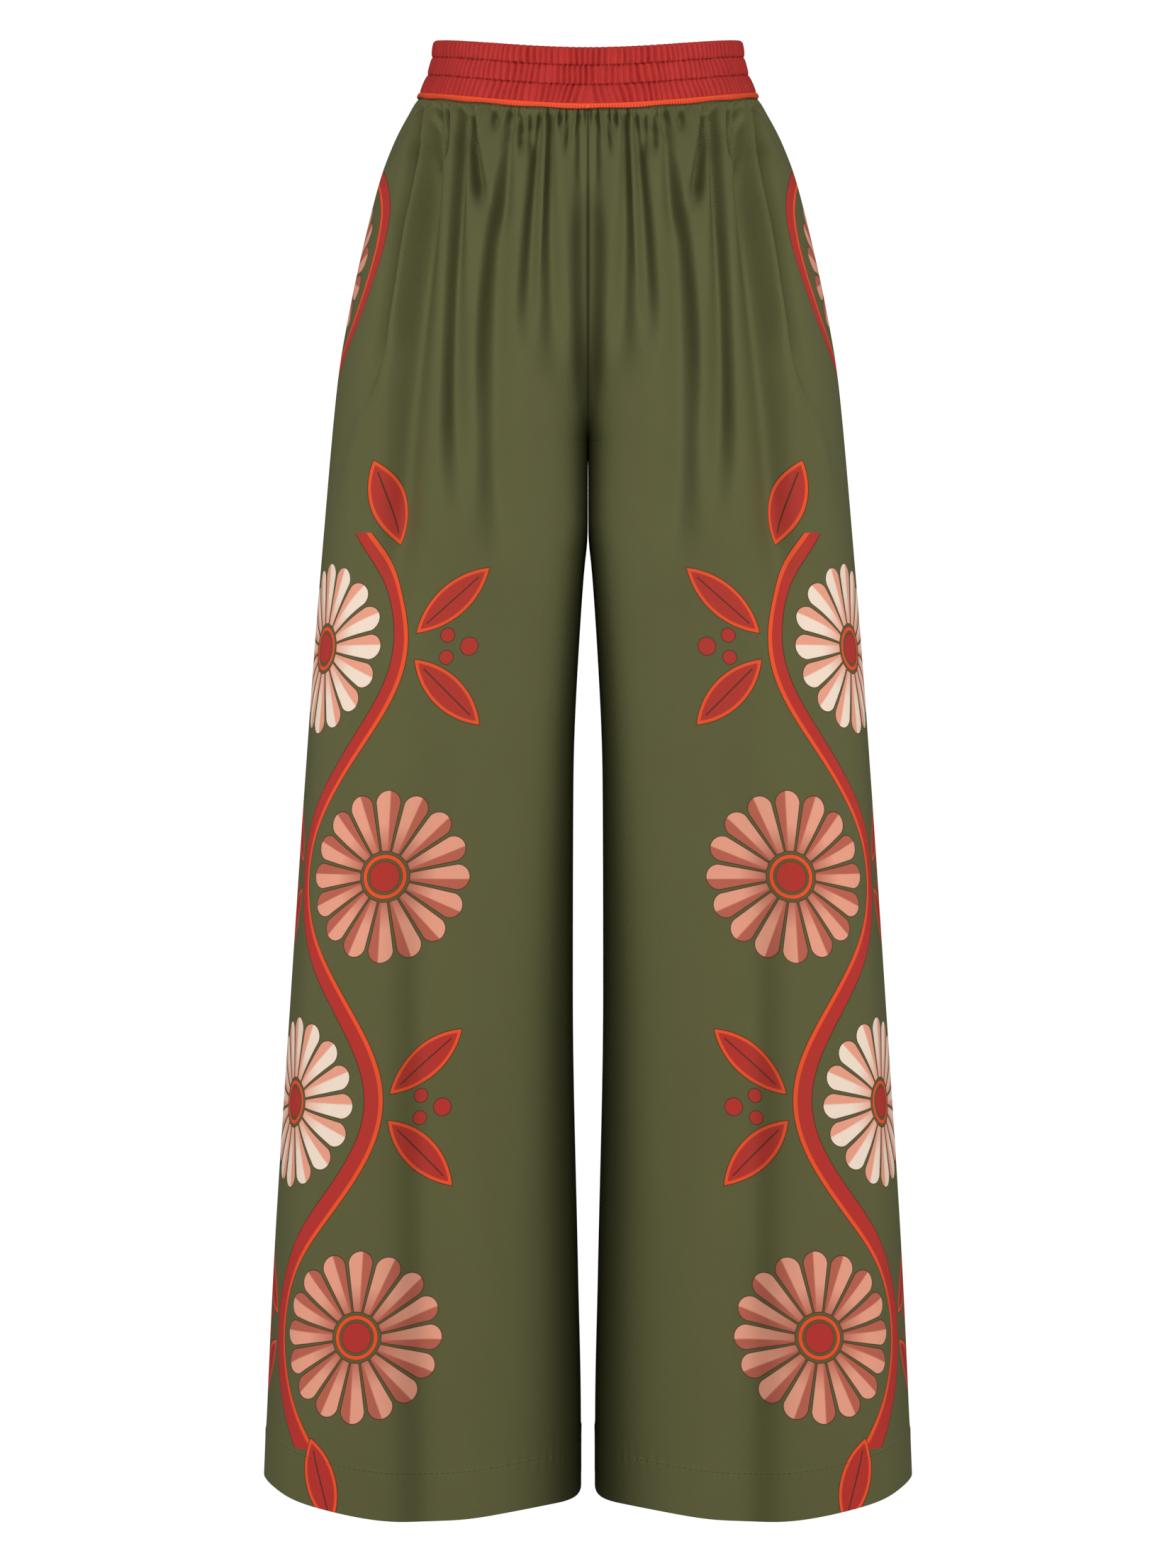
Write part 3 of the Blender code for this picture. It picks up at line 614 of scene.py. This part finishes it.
class Graph:
    """Shader arithmetic, written as sums of terms. A term is a socket, and a plain number stays one."""

    def __init__(self, name):
        self.material = bpy.data.materials.new(name)
        self.material.use_nodes = True
        self.tree = self.material.node_tree
        self.shader = self.tree.nodes["Principled BSDF"]

    def node(self, kind, **settings):
        made = self.tree.nodes.new(kind)
        for name, value in settings.items():
            setattr(made, name, value)
        return made

    def put(self, value, socket):
        if isinstance(value, Term):
            self.tree.links.new(value.socket, socket)
        else:
            socket.default_value = value

    def math(self, operation, *values, clamp=False):
        made = self.node("ShaderNodeMath", operation=operation, use_clamp=clamp)
        for value, socket in zip(values, made.inputs):
            self.put(value, socket)
        return Term(self, made.outputs[0])

    def coordinates(self, name):
        """Both coordinates of a map, in metres."""
        place = self.node("ShaderNodeUVMap", uv_map=name)
        split = self.node("ShaderNodeSeparateXYZ")
        self.tree.links.new(place.outputs[0], split.inputs[0])
        return Term(self, split.outputs[0]), Term(self, split.outputs[1])

    def weave(self, across, down, often, detail=2.0):
        """Noise from 0 to 1 that changes this often, across and down, in a metre."""
        join = self.node("ShaderNodeCombineXYZ")
        self.put(across * often[0], join.inputs[0])
        self.put(down * often[1], join.inputs[1])
        made = self.node("ShaderNodeTexNoise", noise_dimensions="2D")
        made.inputs["Scale"].default_value = 1
        made.inputs["Detail"].default_value = detail
        self.tree.links.new(join.outputs[0], made.inputs["Vector"])
        return Term(self, made.outputs[0])

    def mix(self, factor, first, second, blend="MIX"):
        """Colour that goes from first to second, or to their blend."""
        made = self.node("ShaderNodeMix", data_type="RGBA", clamp_factor=True, blend_type=blend)
        self.put(factor, made.inputs[0])
        for colour, socket in ((first, made.inputs[MIX_FIRST]), (second, made.inputs[MIX_SECOND])):
            self.put(colour if isinstance(colour, Term) else (*colour, 1), socket)
        return Term(self, made.outputs[MIX_COLOUR])

    def bump(self, height, distance):
        made = self.node("ShaderNodeBump")
        made.inputs["Distance"].default_value = distance
        self.put(height, made.inputs["Height"])
        self.tree.links.new(made.outputs[0], self.shader.inputs["Normal"])

    def finished(self, colour, roughness, specular):
        """The material, with this colour and shine."""
        self.put(colour, self.shader.inputs["Base Color"])
        self.put(roughness, self.shader.inputs["Roughness"])
        self.shader.inputs["Specular IOR Level"].default_value = specular
        return self.material


class Term:
    def __init__(self, graph, socket):
        self.graph = graph
        self.socket = socket

    def __add__(self, other):
        return self.graph.math("ADD", self, other)

    def __radd__(self, other):
        return self.graph.math("ADD", other, self)

    def __sub__(self, other):
        return self.graph.math("SUBTRACT", self, other)

    def __rsub__(self, other):
        return self.graph.math("SUBTRACT", other, self)

    def __mul__(self, other):
        return self.graph.math("MULTIPLY", self, other)

    def __rmul__(self, other):
        return self.graph.math("MULTIPLY", other, self)

    def __truediv__(self, other):
        return self.graph.math("DIVIDE", self, other)

    def __pow__(self, other):
        return self.graph.math("POWER", self, other)

    def __mod__(self, other):
        return self.graph.math("FLOORED_MODULO", self, other)

    def __abs__(self):
        return self.graph.math("ABSOLUTE", self)


def least(first, second):
    return first.graph.math("MINIMUM", first, second)


def most(first, second):
    return first.graph.math("MAXIMUM", first, second)


def sine(angle):
    return angle.graph.math("SINE", angle)


def root(value):
    return value.graph.math("SQRT", value)


def distance(x, y):
    return root(x * x + y * y)


def inside(depth):
    """1 where a signed distance is below zero, with a soft edge."""
    return depth.graph.math("MULTIPLY_ADD", depth, -1 / PRINT_BLUR, 0.5, clamp=True)


def ramp(value, low, high):
    """0 below low and 1 above high; high may be the lower one."""
    return value.graph.math("MULTIPLY_ADD", value, 1 / (high - low), -low / (high - low), clamp=True)


OLIVE = (0.110, 0.112, 0.046)
OLIVE_DARK = (0.082, 0.082, 0.034)
INK = (0.060, 0.026, 0.014)
RED = (0.400, 0.030, 0.026)
ORANGE = (0.720, 0.075, 0.022)
CREAM = (0.760, 0.620, 0.510)
SALMON = (0.700, 0.300, 0.205)
ROSE = (0.420, 0.105, 0.070)
BAND_RED = (0.530, 0.042, 0.036)
BAND_RED_DARK = (0.390, 0.026, 0.023)
BINDING_ORANGE = (0.950, 0.100, 0.028)
BINDING_DARK = (0.560, 0.040, 0.018)
OLIVE_THREAD = (0.045, 0.045, 0.022)
# painted shade: colour of the thin dark line in the side seams' grooves
GROOVE_SHADOW_OLIVE = (0.030, 0.030, 0.016)
# waistband stitches: thread, darkened further as painted shade of the stitched lines' valleys
DARK_RED_STITCH_AND_SHADE = (0.130, 0.008, 0.008)
WHITE = (1, 1, 1)
PALE_GREY = (0.86, 0.86, 0.86)

# Weaves: how often their noise changes, across and down, in a metre
SILK_WARP = (1900, 240)
SILK_WEFT = (260, 1700)
SILK_CLOUD = (24, 9)
CREPE_GRAIN = (1500, 1100)
CREPE_CLOUD = (60, 90)
TAPE_GRAIN = (2600, 500)
TWILL_PITCH = 0.0011
TAPE_RIB_PITCH = 0.0020
TAPE_RIB_LEAN = 700
TAPE_SHADE = (0.35, 0.55)  # the binding's stitches darken between these shares of its height

Finish = collections.namedtuple("Finish", "thread cloud least stitch groove relief roughness specular")
# thread, cloud: how much the weave and the broad mottling go from a cloth's dark colour to its light one.
# least: what both start from.
# stitch, groove: how dark the stitches are, and how deep against the weave.
# relief: height of the weave.
SILK = Finish(0.90, 0.35, -0.15, 0.55, 1.5, 0.00012, 0.42, 0.20)
CREPE = Finish(0.70, 0.50, -0.10, 0.65, 2.0, 0.00015, 0.62, 0.15)
TAPE = Finish(0.25, 0, 0, 0.45, 0.5, 0.00012, 0.50, 0.40)
SILK_TINT = (1, 1, 0.5)  # of its highlights
SILK_UNEVEN = 0.10  # how much the roughness varies with the warp
SILK_TONE = 0.5
TWILL_RELIEF = 0.25
# how dark the painted shadow in the side seam's groove is
GROOVE_SHADOW_STRENGTH = 0.6

Stitch = collections.namedtuple("Stitch", "pitch half_length half_width")
HEM_STITCH = Stitch(0.0040, 0.0012, 0.00035)
BAND_STITCH = Stitch(0.0030, 0.0010, 0.00040)
SEAM_LINE = 0.0005

# The printed vine, in metres from the side seam and down from the waist
PRINT_BLUR = 0.0004  # of each edge
OUTLINE = 0.0006
FINE_OUTLINE = 0.0004
VINE_TOP = 0.355
VINE_CELL = 0.166
VINE_CELLS = 4
VINE_EDGE = 0.0002
VINE_MIDDLE = 0.112
VINE_SWAY = 0.040
STEM = 0.0050
STEM_GROWTH = 0.0042  # for each metre down
STEM_STRIPE = 0.0030

Leaf = collections.namedtuple("Leaf", "across down direction half_length half_width")
VINE_LEAF = Leaf(0.0760, 0.0330, (0.70, 0.66), 0.034, 0.0115)
VINE_BUD = Leaf(0.0160, 0.0220, (0.35, 1.0), 0.032, 0.012)  # placed from the vine's middle and its end
LEAF_RIM = 0.0022
LEAF_VEIN = 0.0005
LEAF_VEIN_SHARE = 0.72
Berry = collections.namedtuple("Berry", "across down radius")
BERRIES = [Berry(0.0900, 0.0, 0.0062), Berry(0.0740, 0.0080, 0.0048)]

# A daisy's sizes are shares of its radius, and a petal's shades are shares of its half width.
FLOWER_ACROSS = -0.038
FLOWER_RADIUS = 0.062
PETALS = 16
PETAL_TIP = 0.736  # half width of a petal's round end, as a share of its sector's at the rim
PETAL_START = 0.30
PETAL_TAPER = 0.25
PETAL_SHADE = (0.10, 0.22)
ROOT_SHADE = (0.62, 0.30)
ROOT_STRENGTH = 0.8
DAISY_RING = 0.235
DAISY_RING_HALF = 0.022
DAISY_MIDDLE = 0.175
HIP_FLOWER_DOWN = 0.160
HIP_FLOWER_RADIUS = 0.056
HIP_PETALS = 14
HIP_RING = 0.076
HIP_RING_HALF = 0.0060
HIP_RING_STRIPE = 0.0030


def petal_depths(across, down, radius, petals):
    """Signed depths of a daisy's petals, the side of each petal, and the distance from the middle."""
    graph = across.graph
    away = distance(across, down)
    angle = graph.math("ARCTAN2", across, down)
    sector = 2 * math.pi / petals
    turned = (angle + sector / 2) % sector - sector / 2
    along = away * graph.math("COSINE", turned)
    beside = away * sine(turned)
    tip = PETAL_TIP * radius * math.sin(sector / 2)
    bulb = radius - tip
    start = PETAL_START * radius
    round_end = distance(most(along - bulb, 0.0), beside) - tip
    taper = abs(beside) - ramp(along, start - PETAL_TAPER * radius, bulb) * tip
    petal = most(most(round_end, taper), start - along)
    return petal, beside / tip, away


def paint(graph, colour, depth, fill, outline=OUTLINE):
    """colour with a filled shape on it, in a thin dark outline."""
    colour = graph.mix(inside(depth - outline), colour, INK)
    return graph.mix(inside(depth), colour, fill)


def daisy(graph, colour, across, down, radius, petals, light, shade):
    """colour with a daisy on it."""
    petal, side, away = petal_depths(across, down, radius, petals)
    shaded = graph.mix(ramp(side, *PETAL_SHADE), light, shade)
    outer, root_end = ROOT_SHADE
    shaded = graph.mix(ramp(away, outer * radius, root_end * radius) * ROOT_STRENGTH, shaded, shade)
    colour = paint(graph, colour, petal, shaded)
    ring = abs(away - DAISY_RING * radius) - DAISY_RING_HALF * radius
    colour = paint(graph, colour, ring, ORANGE, FINE_OUTLINE)
    return paint(graph, colour, away - DAISY_MIDDLE * radius, RED, FINE_OUTLINE)


def pointed_leaf(graph, colour, across, down, leaf):
    """colour with a pointed leaf on it, red with an orange rim and a vein."""
    length = math.hypot(*leaf.direction)
    cos, sin = (part / length for part in leaf.direction)
    x, y = across - leaf.across, down - leaf.down
    along, beside = x * cos + y * sin, y * cos - x * sin
    arc_radius = (leaf.half_length**2 + leaf.half_width**2) / (2 * leaf.half_width)
    depth = distance(along, abs(beside) + (arc_radius - leaf.half_width)) - arc_radius
    colour = paint(graph, colour, depth, graph.mix(inside(depth + LEAF_RIM), ORANGE, RED))
    vein = most(abs(beside) - LEAF_VEIN, abs(along) - LEAF_VEIN_SHARE * leaf.half_length)
    return graph.mix(inside(vein), colour, INK)


def vine(graph, colour, across, down):
    """colour with the stem that sways from cell to cell, and each cell's leaves, berries and daisy."""
    reach = (down - VINE_TOP) / VINE_CELL
    cell = graph.math("FLOOR", reach)
    odd = cell % 2.0
    sign = 1 - odd * 2
    y = (reach - cell - 0.5) * VINE_CELL
    x = (across - VINE_MIDDLE) * sign
    turned = y * (math.pi / VINE_CELL)
    slope = sine(turned) * (VINE_SWAY * math.pi / VINE_CELL)
    from_stem = (x - graph.math("COSINE", turned) * VINE_SWAY) / root(1 + slope * slope)
    thick = (down - VINE_TOP) * STEM_GROWTH + STEM
    stripe = (from_stem * sign) - (thick - STEM_STRIPE)
    colour = paint(graph, colour, abs(from_stem) - thick, graph.mix(inside(stripe * -1), RED, ORANGE))
    colour = pointed_leaf(graph, colour, x, abs(y), VINE_LEAF)
    for berry in BERRIES:
        depth = distance(x - berry.across, abs(y) - berry.down) - berry.radius
        colour = paint(graph, colour, depth, RED)
    light = graph.mix(odd, CREAM, SALMON)
    shade = graph.mix(odd, SALMON, ROSE)
    return daisy(graph, colour, x - FLOWER_ACROSS, y, FLOWER_RADIUS, PETALS, light, shade)


def printed(graph, colour, across, down):
    """colour with the vine, the bud at each of its ends and the ringed hip flower on it."""
    vine_end = VINE_TOP + VINE_CELLS * VINE_CELL
    within = ramp(down, VINE_TOP - VINE_EDGE, VINE_TOP + VINE_EDGE)
    within = within * ramp(down, vine_end + VINE_EDGE, vine_end - VINE_EDGE)
    colour = graph.mix(within, colour, vine(graph, colour, across, down))
    for tip, way in ((VINE_TOP, -1), (vine_end, 1)):
        bud = VINE_BUD._replace(across=VINE_MIDDLE + VINE_BUD.across, down=tip + way * VINE_BUD.down)
        colour = pointed_leaf(graph, colour, across, down, bud)
    hip = down - HIP_FLOWER_DOWN
    colour = daisy(graph, colour, across, hip, HIP_FLOWER_RADIUS, HIP_PETALS, SALMON, ROSE)
    away = distance(across, hip)
    stripe = graph.mix(inside(away - (HIP_RING - HIP_RING_STRIPE)), RED, ORANGE)
    return paint(graph, colour, abs(away - HIP_RING) - HIP_RING_HALF, stripe)


def stitches(across, from_line, stitch):
    """Signed depths of a row of stitches."""
    along = abs(across % stitch.pitch - stitch.pitch / 2) - stitch.half_length
    return most(from_line - stitch.half_width, along)


def silk():
    """Olive silk twill with its print, hem stitches, and a painted shadow along each side seam's groove."""
    graph = Graph("silk_twill")
    across, down = graph.coordinates("print")
    beside, above_hem = graph.coordinates("trim")
    warp = graph.weave(across, down, SILK_WARP)
    weft = graph.weave(across, down, SILK_WEFT)
    cloud = graph.weave(across, down, SILK_CLOUD)
    thread = warp * 0.5 + weft * 0.5
    base = graph.mix(thread * SILK.thread + cloud * SILK.cloud + SILK.least, OLIVE_DARK, OLIVE)
    colour = printed(graph, base, across, down)
    colour = graph.mix(1.0, colour, graph.mix(thread * SILK_TONE, WHITE, PALE_GREY), "MULTIPLY")
    stitch = inside(stitches(beside, abs(above_hem - HEM_DEPTH), HEM_STITCH))
    colour = graph.mix(stitch * SILK.stitch, colour, OLIVE_THREAD)
    # painted shade: a thin dark line along the side seam, standing in for the shadow in its groove
    colour = graph.mix(inside(beside - SEAM_LINE) * GROOVE_SHADOW_STRENGTH, colour, GROOVE_SHADOW_OLIVE)
    twill = sine((across + down) * (2 * math.pi / TWILL_PITCH))
    graph.bump(thread + twill * TWILL_RELIEF - stitch * SILK.groove, SILK.relief)
    graph.shader.inputs["Specular Tint"].default_value = (*SILK_TINT, 1)
    return graph.finished(colour, warp * SILK_UNEVEN + SILK.roughness, SILK.specular)


def crepe():
    """Brick red waistband cloth with its two stitched lines, whose stitches are thread painted dark red as
    the painted shade of the lines' valleys.
    """
    graph = Graph("red_crepe")
    across, down = graph.coordinates("trim")
    grain = graph.weave(across, down, CREPE_GRAIN, detail=3.0)
    cloud = graph.weave(across, down, CREPE_CLOUD)
    colour = graph.mix(grain * CREPE.thread + cloud * CREPE.cloud + CREPE.least, BAND_RED_DARK, BAND_RED)
    from_line = least(*(abs(down - line * BAND_HEIGHT) for line in BAND_LINES))
    stitch = inside(stitches(across, from_line, BAND_STITCH))
    # the stitches are real thread, painted dark as well to give the shade in the stitched lines' valleys
    colour = graph.mix(stitch * CREPE.stitch, colour, DARK_RED_STITCH_AND_SHADE)
    graph.bump(grain - stitch * CREPE.groove, CREPE.relief)
    return graph.finished(colour, CREPE.roughness, CREPE.specular)


def trim_tape():
    """Orange binding, close-stitched."""
    graph = Graph("orange_binding")
    across, down = graph.coordinates("trim")
    grain = graph.weave(across, down, TAPE_GRAIN)
    rib = sine(across * (2 * math.pi / TAPE_RIB_PITCH) + down * TAPE_RIB_LEAN)
    lower = ramp(down, *(share * BINDING_HEIGHT for share in TAPE_SHADE))
    shade = (1 - rib) * lower * TAPE.stitch + (1 - grain) * TAPE.thread
    graph.bump(grain + rib * TAPE.groove, TAPE.relief)
    return graph.finished(graph.mix(shade, BINDING_ORANGE, BINDING_DARK), TAPE.roughness, TAPE.specular)


def pale_floor():
    """Matt white finish that the camera sees unshaded, and that throws little light back."""
    graph = Graph("pale_floor")
    graph.shader.inputs["Base Color"].default_value = (*FLOOR_GREY, 1)
    graph.shader.inputs["Roughness"].default_value = FLOOR_ROUGHNESS
    graph.shader.inputs["Emission Color"].default_value = (*WHITE, 1)
    path = graph.node("ShaderNodeLightPath")
    graph.put(Term(graph, path.outputs["Is Camera Ray"]), graph.shader.inputs["Emission Strength"])
    return graph.material


FLOOR_GREY = (0.30, 0.30, 0.30)
FLOOR_ROUGHNESS = 0.9
FLOOR_HEIGHT = -1.10
FLOOR_FRONT = -6.0
FLOOR_BACK = 7.0
FLOOR_BEND = 0.9  # radius of the curve from the floor to the backdrop
FLOOR_BEND_STEPS = 16
FLOOR_HALF = 8.0
FLOOR_TOP = 8.0

Lamp = collections.namedtuple("Lamp", "name azimuth height away width tall power glossy lights")
# Azimuth is counted in degrees from the front, towards the garment's left.
# A lamp that isn't glossy leaves no highlight.
# A lamp lights the pieces whose names hold one of its words, or everything where it has none.
# Each leg has its own side lamps, so that both are lit from their outer side.
LAMPS = [
    Lamp("front", 0, 0.10, 3.3, 1.6, 1.8, 38, True, ""),
    Lamp("leg_left", 40, -0.30, 2.8, 1.0, 2.2, 69, False, "left_cloth"),
    Lamp("leg_right", -40, -0.30, 2.8, 1.0, 2.2, 69, False, "right_cloth"),
    Lamp("waist_left", 40, 0.20, 2.8, 1.0, 1.6, 33, False, "band binding"),
    Lamp("waist_right", -40, 0.20, 2.8, 1.0, 1.6, 33, False, "band binding"),
    Lamp("back_left", 120, 0.10, 3.0, 1.2, 2.0, 24, False, "left_cloth"),
    Lamp("back_right", -120, 0.10, 3.0, 1.2, 2.0, 24, False, "right_cloth"),
    Lamp("back", 180, 0.10, 2.6, 1.4, 1.8, 46, False, "back"),
]
LAMP_TARGET = (0, 0, -0.50)
WORLD_STRENGTH = 0.21

CAMERA_PLACE = (0, -3.0, -0.5371)
CAMERA_LENS = 91.8
CAMERA_SENSOR = 36


def make_floor():
    """Pale floor that curves up into a backdrop."""
    profile = [(FLOOR_FRONT, FLOOR_HEIGHT)]
    for t in np.linspace(0, math.pi / 2, FLOOR_BEND_STEPS + 1):
        y = FLOOR_BACK - FLOOR_BEND + FLOOR_BEND * math.sin(t)
        profile.append((y, FLOOR_HEIGHT + FLOOR_BEND * (1 - math.cos(t))))
    profile.append((FLOOR_BACK, FLOOR_TOP))
    points = [(x, y, z) for y, z in profile for x in (-FLOOR_HALF, FLOOR_HALF)]
    faces = [(2 * i, 2 * i + 1, 2 * i + 3, 2 * i + 2) for i in range(len(profile) - 1)]
    mesh = bpy.data.meshes.new("floor")
    mesh.from_pydata(points, [], faces)
    mesh.polygons.foreach_set("use_smooth", [True] * len(faces))
    mesh.materials.append(pale_floor())
    floor = bpy.data.objects.new("floor", mesh)
    bpy.context.scene.collection.objects.link(floor)


def make_lamp(lamp, pieces):
    """A soft lamp that lights only its own pieces."""
    light = bpy.data.lights.new(lamp.name, "AREA")
    light.shape = "RECTANGLE"
    light.size = lamp.width
    light.size_y = lamp.tall
    light.energy = lamp.power
    turned = math.radians(lamp.azimuth)
    place = (lamp.away * math.sin(turned), -lamp.away * math.cos(turned), lamp.height)
    x, y, z = np.subtract(LAMP_TARGET, place)
    thing = bpy.data.objects.new(lamp.name, light)
    thing.location = place
    thing.rotation_euler = (math.atan2(math.hypot(x, y), -z), 0, math.atan2(-x, y))
    thing.visible_glossy = lamp.glossy
    if lamp.lights:
        lit = bpy.data.collections.new(lamp.name)
        for piece in pieces:
            if any(word in piece.name for word in lamp.lights.split()):
                lit.objects.link(piece)
        thing.light_linking.receiver_collection = lit
    bpy.context.scene.collection.objects.link(thing)


def make_studio(pieces):
    """Floor, soft lights, pale surroundings and the camera."""
    make_floor()
    for lamp in LAMPS:
        make_lamp(lamp, pieces)

    world = bpy.data.worlds.new("studio")
    world.use_nodes = True
    surroundings = world.node_tree.nodes["Background"]
    surroundings.inputs["Color"].default_value = (*WHITE, 1)
    surroundings.inputs["Strength"].default_value = WORLD_STRENGTH
    bpy.context.scene.world = world

    camera = bpy.data.cameras.new("camera")
    camera.lens = CAMERA_LENS
    camera.sensor_width = CAMERA_SENSOR
    eye = bpy.data.objects.new("camera", camera)
    eye.location = CAMERA_PLACE
    eye.rotation_euler = (math.pi / 2, 0, 0)
    bpy.context.scene.collection.objects.link(eye)
    bpy.context.scene.camera = eye
    bpy.context.scene.view_settings.view_transform = "Standard"


def make_legs(side, cloth):
    """The left and right panels of one side."""
    outer, inner, maps = panel(side)
    pieces = []
    for leg, sign in (("left", 1), ("right", -1)):
        mirror = np.array((sign, 1, 1))
        piece = shell(f"{side}_{leg}_cloth", outer * mirror, inner * mirror, maps, cloth)
        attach(piece, "root")
        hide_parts(f"{side}_leg_{leg}")
        pieces.append(piece)
    return pieces


def make_waist(side, red, orange):
    """The waistband and the binding of one side."""
    piece = shell(f"{side}_band", *waistband(side), red)
    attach(piece, "root")
    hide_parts(f"waistband_{side}")
    tape = shell(f"{side}_binding", *binding(side), orange)
    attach(tape, "root")
    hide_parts(f"binding_{side}")
    return [piece, tape]


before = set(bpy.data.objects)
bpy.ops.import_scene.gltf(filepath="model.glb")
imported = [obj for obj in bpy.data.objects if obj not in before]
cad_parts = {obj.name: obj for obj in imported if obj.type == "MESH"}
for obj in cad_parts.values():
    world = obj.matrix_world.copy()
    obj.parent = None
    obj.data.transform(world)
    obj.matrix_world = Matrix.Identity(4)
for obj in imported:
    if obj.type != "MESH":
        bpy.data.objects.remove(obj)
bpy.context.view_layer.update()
silk_finish, crepe_finish, tape_finish = silk(), crepe(), trim_tape()
garment = []
for half in ("front", "back"):
    garment += make_legs(half, silk_finish) + make_waist(half, crepe_finish, tape_finish)
make_studio(garment)
